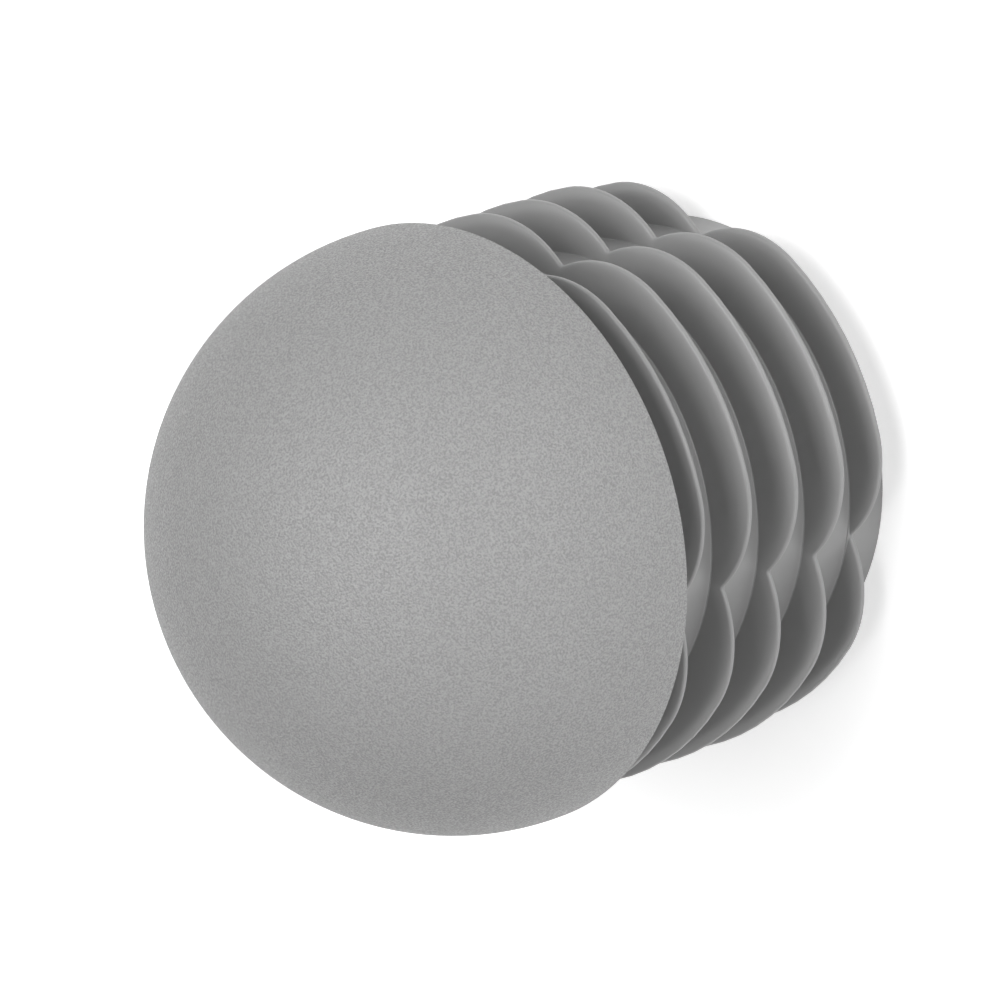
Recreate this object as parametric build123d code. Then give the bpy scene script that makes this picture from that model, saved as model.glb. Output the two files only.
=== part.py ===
from build123d import *

import math
import os

# Domed end cap for a round tube, moulded in one piece. The finned shank is
# pushed into the tube and the head closes it. Millimetres and degrees.
# Z is the axis of the cap. The seat that lands on the tube's end lies at
# z = 0: the domed head stands above it and the shank hangs below it.

# Tube that the cap is made for
TUBE_RADIUS = 25.0
TUBE_WALL = 1.5

# Head, flush with the outside of the tube
HEAD_SKIRT = 0.5  # straight side between the seat and the dome
HEAD_WALL = 3.0  # thinnest part of the dome
RIM_BREAK = 0.15

# Sleeve, the hollow core of the shank
SLEEVE_GAP = 3.9  # room between the sleeve and the tube for the fins to bend
SLEEVE_WALL = 2.0
SLEEVE_TAIL = 3.9  # middle of the last fin to the open end
ROOF_RADIUS = 10.0  # flat end of the hollow, above a cone that follows the dome

# Fins, which bend and grip the tube's bore
FIN_COUNT = 5
FIN_PITCH = 5.65
FIRST_FIN_DEPTH = 3.7  # seat to the middle of the first fin
FIN_THICKNESS = 0.9
FIN_GRIP = 0.45  # how far a free fin would reach into the tube's wall
LEAD_STEP = 0.75  # the last fin is smaller all round, to start in the tube

# Lobes of a fin: one for each slide of the mould, with a notch between two
LOBE_COUNT = 4
LOBE_CORNER_RADIUS = 9.8
NOTCH_DEPTH = 3.3
NOTCH_ROUND = 0.3

# Radii about Z
BORE_RADIUS = TUBE_RADIUS - TUBE_WALL
SLEEVE_RADIUS = BORE_RADIUS - SLEEVE_GAP
HOLLOW_RADIUS = SLEEVE_RADIUS - SLEEVE_WALL
FIN_RADIUS = BORE_RADIUS + FIN_GRIP
NOTCH_RADIUS = FIN_RADIUS - NOTCH_DEPTH

# Length of the shank, from the seat to the open end
SLEEVE_LENGTH = FIRST_FIN_DEPTH + (FIN_COUNT - 1) * FIN_PITCH + SLEEVE_TAIL


def height_under_dome(radius):
    """Height at which the dome's wall is at its thinnest over a radius."""
    return HEAD_SKIRT + math.sqrt((TUBE_RADIUS - HEAD_WALL) ** 2 - radius**2)


def outside():
    """Domed head and sleeve without their hollow."""
    sides = Polyline(
        (0, HEAD_SKIRT + TUBE_RADIUS),
        (0, -SLEEVE_LENGTH),
        (SLEEVE_RADIUS, -SLEEVE_LENGTH),
        (SLEEVE_RADIUS, 0),
        (TUBE_RADIUS - RIM_BREAK, 0),
        (TUBE_RADIUS, RIM_BREAK),
        (TUBE_RADIUS, HEAD_SKIRT),
    )
    dome = CenterArc((0, HEAD_SKIRT), TUBE_RADIUS, 0, 90)
    return revolve(Plane.XZ * make_face(sides + dome), Axis.Z)


def hollow():
    """Space that the mould's core leaves in the sleeve and the head."""
    section = Polyline(
        (0, -SLEEVE_LENGTH),
        (HOLLOW_RADIUS, -SLEEVE_LENGTH),
        (HOLLOW_RADIUS, height_under_dome(HOLLOW_RADIUS)),
        (ROOF_RADIUS, height_under_dome(ROOF_RADIUS)),
        (0, height_under_dome(ROOF_RADIUS)),
        close=True,
    )
    return revolve(Plane.XZ * make_face(section), Axis.Z)


def lobed_outline(step):
    """Plan of a fin: large round corners that meet in notches.

    Each lobe is a stretch of the tip circle between two corner arcs. A step
    shrinks the whole outline by that much and keeps the arcs' centres.
    """
    centre_radius = FIN_RADIUS - LOBE_CORNER_RADIUS
    gap = centre_radius**2 + NOTCH_RADIUS**2 - LOBE_CORNER_RADIUS**2
    to_notch = math.acos(gap / (2 * centre_radius * NOTCH_RADIUS))
    corner_radius = LOBE_CORNER_RADIUS - step
    sweep = math.degrees(to_notch + math.asin(centre_radius * math.sin(to_notch) / corner_radius))
    half_crown = 180 / LOBE_COUNT - math.degrees(to_notch)
    arcs = []
    for lobe in range(LOBE_COUNT):
        start = lobe * 360 / LOBE_COUNT - half_crown
        end = lobe * 360 / LOBE_COUNT + half_crown
        start_centre = (Rot(0, 0, start) * Pos(centre_radius, 0)).position
        end_centre = (Rot(0, 0, end) * Pos(centre_radius, 0)).position
        arcs.append(CenterArc(start_centre, corner_radius, start - sweep, sweep))
        arcs.append(CenterArc((0, 0), FIN_RADIUS - step, start, 2 * half_crown))
        arcs.append(CenterArc(end_centre, corner_radius, end, sweep))
    plan = make_face(arcs)
    by_radius = plan.vertices().sort_by(lambda vertex: Vector(vertex).length)
    return fillet(by_radius[:LOBE_COUNT], NOTCH_ROUND)


def fins():
    """Lobed plates, solid to the axis until the hollow is cut."""
    plates = []
    for index in range(FIN_COUNT):
        step = LEAD_STEP if index == FIN_COUNT - 1 else 0
        plate = extrude(lobed_outline(step), FIN_THICKNESS / 2, both=True)
        plates.append(Pos(0, 0, -FIRST_FIN_DEPTH - index * FIN_PITCH) * plate)
    return plates


def end_cap():
    """Head, sleeve and fins as one solid, cored out from below."""
    return outside() + fins() - hollow()


os.makedirs("parts", exist_ok=True)
export_step(end_cap(), "parts/end_cap.step")
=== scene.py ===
import math

import bpy
from mathutils import Euler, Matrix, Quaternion, Vector


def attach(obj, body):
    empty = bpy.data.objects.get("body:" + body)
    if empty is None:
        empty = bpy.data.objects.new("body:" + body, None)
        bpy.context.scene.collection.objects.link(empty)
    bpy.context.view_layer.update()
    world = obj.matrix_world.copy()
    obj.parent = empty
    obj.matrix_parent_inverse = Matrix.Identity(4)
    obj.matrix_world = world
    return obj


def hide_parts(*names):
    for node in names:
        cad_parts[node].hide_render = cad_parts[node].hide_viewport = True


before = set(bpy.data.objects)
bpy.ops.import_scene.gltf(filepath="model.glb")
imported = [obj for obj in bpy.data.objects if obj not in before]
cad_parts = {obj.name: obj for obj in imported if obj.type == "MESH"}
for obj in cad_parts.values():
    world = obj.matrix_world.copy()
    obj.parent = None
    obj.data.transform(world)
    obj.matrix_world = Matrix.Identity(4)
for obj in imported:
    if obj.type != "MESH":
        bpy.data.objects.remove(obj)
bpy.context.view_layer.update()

# Domed end cap for a round tube, moulded in one piece of polyethylene. Z is
# its axis and the seat that lands on the tube's end lies at z = 0. It stands
# dome up on its open end. Sizes are in millimetres, and one function turns a
# place into metres.
MM = 0.001

# Tube that the cap is made for
TUBE_RADIUS = 25.0
TUBE_WALL = 1.5

# Head, flush with the outside of the tube
HEAD_SKIRT = 0.5  # straight side between the seat and the dome
HEAD_WALL = 3.0  # thinnest part of the dome
RIM_ROUND = 0.15

# Sleeve, the hollow core of the shank
SLEEVE_GAP = 3.9  # room between the sleeve and the tube for the fins to bend
SLEEVE_WALL = 2.0
SLEEVE_TAIL = 3.9  # middle of the last fin to the open end
END_ROUND = 0.2
ROOF_RADIUS = 10.0  # flat end of the hollow, above a cone that follows the dome
CUT_OVERRUN = 5.0  # how far the hollow's cutter runs past the open end

# Fins, which bend and grip the tube's bore
FIN_COUNT = 5
FIN_PITCH = 5.65
FIRST_FIN_DEPTH = 3.7  # seat to the middle of the first fin
FIN_GRIP = 0.45  # how far a free fin would reach into the tube's wall
LEAD_STEP = 0.75  # the last fin is smaller all round, to start in the tube

# Section of a fin's half, from its round nose in to its root
NOSE_ROUND = 0.28
EASE_SLOPE = math.radians(20)  # where the eased strip leaves the nose
EASE_WIDTH = 1.0  # strip that curves from the nose into the flat face
EASE_RISE = EASE_WIDTH * math.tan(EASE_SLOPE) / 2
TAPER_WIDTH = 3.05  # flat face, up to the collar on the sleeve
TAPER_RISE = 0.04
ROOT_HALF = NOSE_ROUND * math.cos(EASE_SLOPE) + EASE_RISE + TAPER_RISE
ROOT_FLARE = 0.1  # hollow round where a fin or the seat meets the sleeve

# Lobes of a fin: one for each slide of the mould, with a notch between two
LOBE_COUNT = 4
LOBE_CORNER_RADIUS = 9.8
NOTCH_DEPTH = 3.3
NOTCH_ROUND = 0.3

# Radii about Z
BORE_RADIUS = TUBE_RADIUS - TUBE_WALL
SLEEVE_RADIUS = BORE_RADIUS - SLEEVE_GAP
COLLAR_RADIUS = SLEEVE_RADIUS + ROOT_FLARE
HOLLOW_RADIUS = SLEEVE_RADIUS - SLEEVE_WALL
FIN_RADIUS = BORE_RADIUS + FIN_GRIP
NOTCH_RADIUS = FIN_RADIUS - NOTCH_DEPTH
NOTCH_LIMIT = NOTCH_RADIUS + 0.05  # only a notch's corner is within this

# Depths below the seat
FIN_DEPTHS = [FIRST_FIN_DEPTH + index * FIN_PITCH for index in range(FIN_COUNT)]
SLEEVE_LENGTH = FIN_DEPTHS[-1] + SLEEVE_TAIL

# Segments round the axis, along the dome, and along each small curve
TURN_STEPS = 192
DOME_STEPS = 48
ROUND_STEPS = 6
NOSE_STEPS = 6
EASE_STEPS = 4
CORNER_STEPS = 16
CROWN_STEPS = 8
NOTCH_STEPS = 10

# Far below the smallest segment, so that only points that meet are merged
MERGE_DISTANCE = 0.002
MIRROR_SNAP = 0.001

SEAT_MARGIN = 0.01  # faces that lie higher than this belong to the head
EDGE_ANGLE = math.radians(18)  # sharper edges stay crisp

AXIS = Vector((0, 0, 1))
BACK = Vector((0, 1, 0))  # a turn about this leads from up to out in a section
CENTRE = Vector((0, 0, 0))


def metres(x, y, z):
    """Place in metres from one in millimetres."""
    return Vector((x, y, z)) * MM


def polar(radius, angle):
    """Place in metres at a radius and an angle about the cap's axis."""
    return metres(radius * math.cos(angle), radius * math.sin(angle), 0)


# Drawing with a mesh in edit mode

def start_point(name, place):
    """New mesh in edit mode that holds one vertex."""
    bpy.ops.object.select_all(action="DESELECT")
    bpy.ops.mesh.primitive_plane_add(size=MM, location=place)
    piece = bpy.context.object
    piece.name = name
    bpy.ops.object.transform_apply(location=True)
    bpy.ops.object.mode_set(mode="EDIT")
    bpy.ops.mesh.select_mode(type="VERT")
    bpy.ops.mesh.select_all(action="SELECT")
    bpy.ops.mesh.merge(type="CENTER")
    return piece


def line_to(here, there):
    """Draws a straight edge from the selected vertex and returns its end."""
    bpy.ops.mesh.extrude_region_move(TRANSFORM_OT_translate={"value": there - here})
    return there


def arc_about(here, centre, axis, angle, steps):
    """Draws a right-handed arc from the selected vertex and returns its end."""
    bpy.ops.mesh.spin(steps=steps, angle=-angle, center=centre, axis=axis)
    reach = here - centre
    reach.rotate(Quaternion(axis, angle))
    return centre + reach


def outer_round(here, radius, height):
    """Draws a convex quarter in a section, about a centre, to its end."""
    return arc_about(here, metres(radius, 0, height), BACK, math.pi / 2, ROUND_STEPS)


def inner_round(here, radius, height):
    """Draws a concave quarter in a section, about a centre, to its end."""
    return arc_about(here, metres(radius, 0, height), BACK, -math.pi / 2, ROUND_STEPS)


def close_and_orient():
    """Merges what meets, points every face outwards and leaves edit mode."""
    bpy.ops.mesh.select_all(action="SELECT")
    bpy.ops.mesh.remove_doubles(threshold=MERGE_DISTANCE * MM)
    bpy.ops.mesh.normals_make_consistent(inside=False)
    bpy.ops.object.mode_set(mode="OBJECT")


def turn(piece):
    """Spins the section that was drawn round the cap's axis."""
    bpy.ops.mesh.select_all(action="SELECT")
    bpy.ops.mesh.spin(steps=TURN_STEPS, angle=2 * math.pi, center=CENTRE, axis=AXIS)
    close_and_orient()
    return piece


def select_vertices(piece, wanted):
    """Selects, in edit mode, the vertices whose place is wanted."""
    bpy.ops.mesh.select_mode(type="VERT")
    bpy.ops.mesh.select_all(action="DESELECT")
    bpy.ops.object.mode_set(mode="OBJECT")
    for vertex in piece.data.vertices:
        vertex.select = wanted(vertex.co)
    bpy.ops.object.mode_set(mode="EDIT")


def raised_side(piece):
    """Says, for the mirror, on which side of z = 0 the piece was raised."""
    bpy.ops.object.mode_set(mode="OBJECT")
    heights = [vertex.co.z for vertex in piece.data.vertices]
    bpy.ops.object.mode_set(mode="EDIT")
    return "POSITIVE_Z" if max(heights) > -min(heights) else "NEGATIVE_Z"


# Handling whole pieces

def pick(piece):
    """Selects a piece alone and makes it the active one."""
    bpy.ops.object.select_all(action="DESELECT")
    piece.select_set(True)
    bpy.context.view_layer.objects.active = piece


def copy_at(piece, place):
    """Copy of a piece with a mesh of its own, moved in the mesh."""
    pick(piece)
    bpy.ops.object.duplicate()
    bpy.ops.transform.translate(value=place)
    bpy.ops.object.transform_apply(location=True)
    return bpy.context.object


def combine(piece, tools, operation):
    """Adds the tools to the piece or cuts them from it, and removes them."""
    group = bpy.data.collections.new("tools")
    for tool in tools:
        group.objects.link(tool)
    pick(piece)
    change = piece.modifiers.new(operation, "BOOLEAN")
    change.operation = operation
    change.operand_type = "COLLECTION"
    change.collection = group
    change.solver = "EXACT"
    bpy.ops.object.modifier_apply(modifier=change.name)
    for tool in tools:
        bpy.data.objects.remove(tool)
    bpy.data.collections.remove(group)


# The cap

def make_core():
    """Head and sleeve, solid, with a flared collar where each fin joins."""
    here = metres(0, 0, HEAD_SKIRT + TUBE_RADIUS)
    core = start_point("end_cap_moulding", here)
    here = arc_about(here, metres(0, 0, HEAD_SKIRT), BACK, math.pi / 2, DOME_STEPS)
    here = line_to(here, metres(TUBE_RADIUS, 0, RIM_ROUND))
    here = outer_round(here, TUBE_RADIUS - RIM_ROUND, RIM_ROUND)
    here = line_to(here, metres(COLLAR_RADIUS, 0, 0))
    here = inner_round(here, COLLAR_RADIUS, -ROOT_FLARE)
    for depth in FIN_DEPTHS:
        collar_top = ROOT_HALF - depth
        here = line_to(here, metres(SLEEVE_RADIUS, 0, collar_top + ROOT_FLARE))
        here = inner_round(here, COLLAR_RADIUS, collar_top + ROOT_FLARE)
        collar_bottom = -ROOT_HALF - depth
        here = line_to(here, metres(COLLAR_RADIUS, 0, collar_bottom))
        here = inner_round(here, COLLAR_RADIUS, collar_bottom - ROOT_FLARE)
    here = line_to(here, metres(SLEEVE_RADIUS, 0, END_ROUND - SLEEVE_LENGTH))
    here = outer_round(here, SLEEVE_RADIUS - END_ROUND, END_ROUND - SLEEVE_LENGTH)
    line_to(here, metres(0, 0, -SLEEVE_LENGTH))
    return turn(core)


def draw_lobes(step):
    """Outline of a fin: large round corners that meet in rounded notches.

    Each lobe is a stretch of the tip circle between two corner arcs. A step
    shrinks the outline by that much and keeps the arcs' centres.
    """
    centre_radius = FIN_RADIUS - LOBE_CORNER_RADIUS
    gap = centre_radius**2 + NOTCH_RADIUS**2 - LOBE_CORNER_RADIUS**2
    to_notch = math.acos(gap / (2 * centre_radius * NOTCH_RADIUS))
    corner_radius = LOBE_CORNER_RADIUS - step
    sweep = to_notch + math.asin(centre_radius * math.sin(to_notch) / corner_radius)
    half_crown = math.pi / LOBE_COUNT - to_notch

    first_centre = polar(centre_radius, -half_crown)
    last_centre = polar(centre_radius, half_crown)
    here = first_centre + polar(corner_radius, -half_crown - sweep)
    fin = start_point("fin", here)
    here = arc_about(here, first_centre, AXIS, sweep, CORNER_STEPS)
    here = arc_about(here, CENTRE, AXIS, 2 * half_crown, CROWN_STEPS)
    arc_about(here, last_centre, AXIS, sweep, CORNER_STEPS)
    bpy.ops.mesh.select_all(action="SELECT")
    bpy.ops.mesh.spin(steps=LOBE_COUNT, angle=2 * math.pi, center=CENTRE, axis=AXIS, dupli=True)
    bpy.ops.mesh.select_all(action="SELECT")
    bpy.ops.mesh.remove_doubles(threshold=MERGE_DISTANCE * MM)

    lean = sweep + half_crown - math.pi / LOBE_COUNT
    select_vertices(fin, lambda place: place.length < NOTCH_LIMIT * MM)
    bpy.ops.mesh.bevel(
        offset=NOTCH_ROUND * math.tan(lean) * MM, segments=NOTCH_STEPS,
        affect="VERTICES", clamp_overlap=False,
    )
    return fin


def raise_half():
    """Raises the face inside an outline to a fin's section, nose first."""
    nose_arc = math.pi / 2 - EASE_SLOPE
    for k in range(NOSE_STEPS):
        low = nose_arc * k / NOSE_STEPS
        high = nose_arc * (k + 1) / NOSE_STEPS
        bpy.ops.mesh.inset(
            thickness=NOSE_ROUND * (math.cos(low) - math.cos(high)) * MM,
            depth=NOSE_ROUND * (math.sin(high) - math.sin(low)) * MM,
        )
    for k in range(EASE_STEPS):
        share = (2 * (EASE_STEPS - k) - 1) / EASE_STEPS**2  # a parabola that levels out
        bpy.ops.mesh.inset(thickness=EASE_WIDTH / EASE_STEPS * MM, depth=EASE_RISE * share * MM)
    bpy.ops.mesh.inset(thickness=TAPER_WIDTH * MM, depth=TAPER_RISE * MM)


def make_fin(step):
    """Lobed plate with a round nose that eases into its faces, closed."""
    fin = draw_lobes(step)
    bpy.ops.mesh.select_all(action="SELECT")
    bpy.ops.mesh.edge_face_add()
    bpy.ops.mesh.select_mode(type="FACE")
    raise_half()
    bpy.ops.mesh.select_all(action="SELECT")
    bpy.ops.mesh.symmetrize(direction=raised_side(fin), threshold=MIRROR_SNAP * MM)
    close_and_orient()
    return fin


def make_hollow():
    """Space inside the sleeve and the head, coned to follow the dome."""
    under_dome = TUBE_RADIUS - HEAD_WALL
    shoulder = HEAD_SKIRT + math.sqrt(under_dome**2 - HOLLOW_RADIUS**2)
    roof = HEAD_SKIRT + math.sqrt(under_dome**2 - ROOF_RADIUS**2)
    here = metres(0, 0, roof)
    hollow = start_point("hollow", here)
    here = line_to(here, metres(ROOF_RADIUS, 0, roof))
    here = line_to(here, metres(HOLLOW_RADIUS, 0, shoulder))
    here = line_to(here, metres(HOLLOW_RADIUS, 0, -SLEEVE_LENGTH - CUT_OVERRUN))
    line_to(here, metres(0, 0, -SLEEVE_LENGTH - CUT_OVERRUN))
    return turn(hollow)


def make_cap():
    """The whole moulding: core and fins joined, and the hollow cut."""
    cap = make_core()
    full_fin = make_fin(0)
    fins = [copy_at(full_fin, metres(0, 0, -depth)) for depth in FIN_DEPTHS[:-1]]
    lead_fin = make_fin(LEAD_STEP)
    fins.append(copy_at(lead_fin, metres(0, 0, -FIN_DEPTHS[-1])))
    bpy.data.objects.remove(full_fin)
    bpy.data.objects.remove(lead_fin)
    combine(cap, fins, "UNION")
    combine(cap, [make_hollow()], "DIFFERENCE")
    pick(cap)
    bpy.ops.object.mode_set(mode="EDIT")
    close_and_orient()
    return cap


# Plastic of the cap

GREY = "#9B9B9B"
POLYETHYLENE_IOR = 1.5

# Craters that a spark-eroded cavity leaves on the head
CRATER_SPACING = 0.17  # as real ones, not coarsened
CRATER_DEPTH = 0.1  # more than the real 0.02, because the noise is smoother
CRATER_LEVELS = (0.36, 0.65)  # most of what the noise gives
CRATER_SHADES = (0.87, 1.13)  # dark and light grains, as shares of the grey
CRATER_ROUGHNESS = (0.78, 0.33)

# Faint waves that the shrinking wall leaves on the polished shank
WAVE_SPACING = 1.5
WAVE_DEPTH = 0.01
WAVE_STRENGTH = 0.2
WAVE_LEVELS = (0.3, 0.7)
WAVE_ROUGHNESS = (0.28, 0.36)


def linear(hex_colour):
    """Linear RGBA from an sRGB hex colour."""
    channels = [int(hex_colour[i:i + 2], 16) / 255 for i in (1, 3, 5)]
    return [c / 12.92 if c <= 0.04045 else ((c + 0.055) / 1.055) ** 2.4 for c in channels] + [1.0]


def repeats(millimetres):
    """Texture scale whose pattern repeats about once in that length."""
    return 1 / (millimetres * MM)


def new_material(name):
    """Empty node material."""
    material = bpy.data.materials.new(name)
    material.use_nodes = True
    material.node_tree.nodes.clear()
    return material


def add_node(tree, kind, values=None, links=None, **settings):
    """Adds a node with its settings, its sockets' values and its links."""
    node = tree.nodes.new(kind)
    for name, value in settings.items():
        setattr(node, name, value)
    for name, value in (values or {}).items():
        node.inputs[name].default_value = value
    for name, source in (links or {}).items():
        tree.links.new(source, node.inputs[name])
    return node


def spread(tree, source, levels, results):
    """Turns levels of a source, from first to last, into results."""
    values = {"From Min": levels[0], "From Max": levels[1], "To Min": results[0], "To Max": results[1]}
    return add_node(tree, "ShaderNodeMapRange", values, {"Value": source}).outputs["Result"]


def noise(tree, spacing, detail):
    """Even noise with that spacing, fixed to the object."""
    place = add_node(tree, "ShaderNodeTexCoord").outputs["Object"]
    values = {"Scale": repeats(spacing), "Detail": detail}
    return add_node(tree, "ShaderNodeTexNoise", values, {"Vector": place}).outputs["Fac"]


def bumps(tree, height, strength, depth):
    """Surface direction of bumps of that depth."""
    values = {"Strength": strength, "Distance": depth * MM}
    return add_node(tree, "ShaderNodeBump", values, {"Height": height}).outputs["Normal"]


def spark_eroded_polyethylene():
    """Matt head, from a cavity that was spark eroded.

    The eroded craters leave a fine even grain, which breaks the highlight
    into small glints.
    """
    material = new_material("polyethylene_moulded_in_spark_eroded_cavity")
    tree = material.node_tree
    craters = noise(tree, CRATER_SPACING, 1.0)
    shades = spread(tree, craters, CRATER_LEVELS, CRATER_SHADES)
    colour = add_node(
        tree, "ShaderNodeMix", {"Factor": 1.0, "A": linear(GREY)}, {"B": shades},
        data_type="RGBA", blend_type="MULTIPLY",
    )
    shader = add_node(
        tree, "ShaderNodeBsdfPrincipled", {"IOR": POLYETHYLENE_IOR},
        {
            "Base Color": colour.outputs["Result"],
            "Roughness": spread(tree, craters, CRATER_LEVELS, CRATER_ROUGHNESS),
            "Normal": bumps(tree, craters, 1.0, CRATER_DEPTH),
        },
    )
    add_node(tree, "ShaderNodeOutputMaterial", links={"Surface": shader.outputs["BSDF"]})
    return material


def polished_steel_polyethylene():
    """Satin shank, from polished slides and core.

    Polished steel leaves a smooth skin with long soft highlights, which
    waver a little where the wall has shrunk.
    """
    material = new_material("polyethylene_moulded_against_polished_steel")
    tree = material.node_tree
    waves = noise(tree, WAVE_SPACING, 2.0)
    shader = add_node(
        tree, "ShaderNodeBsdfPrincipled",
        {"IOR": POLYETHYLENE_IOR, "Base Color": linear(GREY)},
        {
            "Roughness": spread(tree, waves, WAVE_LEVELS, WAVE_ROUGHNESS),
            "Normal": bumps(tree, waves, WAVE_STRENGTH, WAVE_DEPTH),
        },
    )
    add_node(tree, "ShaderNodeOutputMaterial", links={"Surface": shader.outputs["BSDF"]})
    return material


def finish_cap(cap):
    """Gives the head its matt grain and the rest its satin."""
    cap.data.materials.clear()
    cap.data.materials.append(polished_steel_polyethylene())
    cap.data.materials.append(spark_eroded_polyethylene())
    for face in cap.data.polygons:
        outside = face.center.xy.length > HOLLOW_RADIUS * MM or face.normal.z > 0
        face.material_index = int(outside and face.center.z > SEAT_MARGIN * MM)
    pick(cap)
    bpy.ops.object.shade_smooth_by_angle(angle=EDGE_ANGLE)
    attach(cap, "root")
    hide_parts("end_cap")


# Studio

STUDIO_TURN = -36.82  # degrees about Z, from the cap's X to the studio's right
SOFTBOX_DISTANCE = 1000.0
SOFTBOX_SIZE = 600.0
WORLD_LIGHT = 0.16

FLOOR_SIZE = 3000.0
FLOOR_GREY = "#F4F4F4"
FLOOR_GLOW = 0.52  # added under the cap, where the lamps light the paper
GLOW_RING = (100.0, 800.0)  # the glow grows to 1 between these distances

CAMERA_PLACE = (-87.014, -430.220, 419.454)
CAMERA_TURN = (-17.864, 43.048, -126.822)  # degrees; the cap seems to lie on its side
CAMERA_LENS = 270
CAMERA_SENSOR = 36
CAMERA_RANGE = (10.0, 10000.0)  # nearest and farthest that it draws


def larger(tree, one, other):
    """The larger of two values."""
    return add_node(tree, "ShaderNodeMath", links={0: one, 1: other}, operation="MAXIMUM").outputs[0]


def seen_directly(tree):
    """1 for what the camera sees, also in a reflection or through glass."""
    path = add_node(tree, "ShaderNodeLightPath").outputs
    in_view = larger(tree, path["Is Camera Ray"], path["Is Glossy Ray"])
    return larger(tree, in_view, path["Is Transmission Ray"])


def make_floor():
    """Pale table under the cap, white to the eye apart from the shadow."""
    bpy.ops.object.select_all(action="DESELECT")
    bpy.ops.mesh.primitive_plane_add(size=FLOOR_SIZE * MM, location=metres(0, 0, -SLEEVE_LENGTH))
    floor = bpy.context.object
    floor.name = "floor"
    material = new_material("white_paper_sweep")
    tree = material.node_tree
    paper = add_node(tree, "ShaderNodeBsdfDiffuse", {"Color": linear(FLOOR_GREY)})
    place = add_node(tree, "ShaderNodeTexCoord").outputs["Object"]
    distance = add_node(tree, "ShaderNodeVectorMath", links={0: place}, operation="LENGTH")
    ring = [reach * MM for reach in GLOW_RING]
    level = spread(tree, distance.outputs["Value"], ring, (FLOOR_GLOW, 1.0))
    seen = seen_directly(tree)
    glow = add_node(tree, "ShaderNodeMath", links={0: seen, 1: level}, operation="MULTIPLY")
    light = add_node(tree, "ShaderNodeEmission", links={"Strength": glow.outputs["Value"]})
    both = add_node(
        tree, "ShaderNodeAddShader", links={0: paper.outputs["BSDF"], 1: light.outputs["Emission"]}
    )
    add_node(tree, "ShaderNodeOutputMaterial", links={"Surface": both.outputs["Shader"]})
    floor.data.materials.append(material)


def make_world():
    """Even studio light from all round, and white behind the cap."""
    world = bpy.data.worlds.new("studio")
    bpy.context.scene.world = world
    world.use_nodes = True
    tree = world.node_tree
    tree.nodes.clear()
    level = spread(tree, seen_directly(tree), (0.0, 1.0), (WORLD_LIGHT, 1.0))
    sky = add_node(tree, "ShaderNodeBackground", {"Color": linear("#FFFFFF")}, {"Strength": level})
    add_node(tree, "ShaderNodeOutputWorld", links={"Surface": sky.outputs["Background"]})


def make_lamp(name, azimuth, elevation, power):
    """Softbox that faces the cap, placed in the studio by two angles."""
    place = metres(SOFTBOX_DISTANCE, 0, 0)
    place.rotate(Euler((0, -math.radians(elevation), math.radians(azimuth + STUDIO_TURN))))
    bpy.ops.object.light_add(type="AREA", location=place)
    lamp = bpy.context.object
    lamp.name = name
    lamp.rotation_euler = place.to_track_quat("Z", "Y").to_euler()
    lamp.data.shape = "DISK"
    lamp.data.size = SOFTBOX_SIZE * MM
    lamp.data.energy = power


def make_camera():
    """Camera that looks down on the cap at a slant."""
    bpy.ops.object.camera_add(
        location=metres(*CAMERA_PLACE),
        rotation=[math.radians(turn) for turn in CAMERA_TURN],
    )
    camera = bpy.context.object
    camera.data.lens = CAMERA_LENS
    camera.data.sensor_width = CAMERA_SENSOR
    camera.data.clip_start = CAMERA_RANGE[0] * MM
    camera.data.clip_end = CAMERA_RANGE[1] * MM
    bpy.context.scene.camera = camera


finish_cap(make_cap())
make_floor()
make_world()

# Azimuth and elevation in degrees, and power in watts
make_lamp("front_softbox", -60, 2, 4.68)
make_lamp("side_softbox", -120, 2, 2.15)
make_lamp("top_softbox", -45, 75, 3.6)
make_lamp("right_softbox", 0, 62, 3.1)
make_lamp("left_softbox", 180, 50, 1.05)
make_lamp("back_softbox", 60, 50, 0.8)

make_camera()
bpy.context.scene.view_settings.view_transform = "Standard"
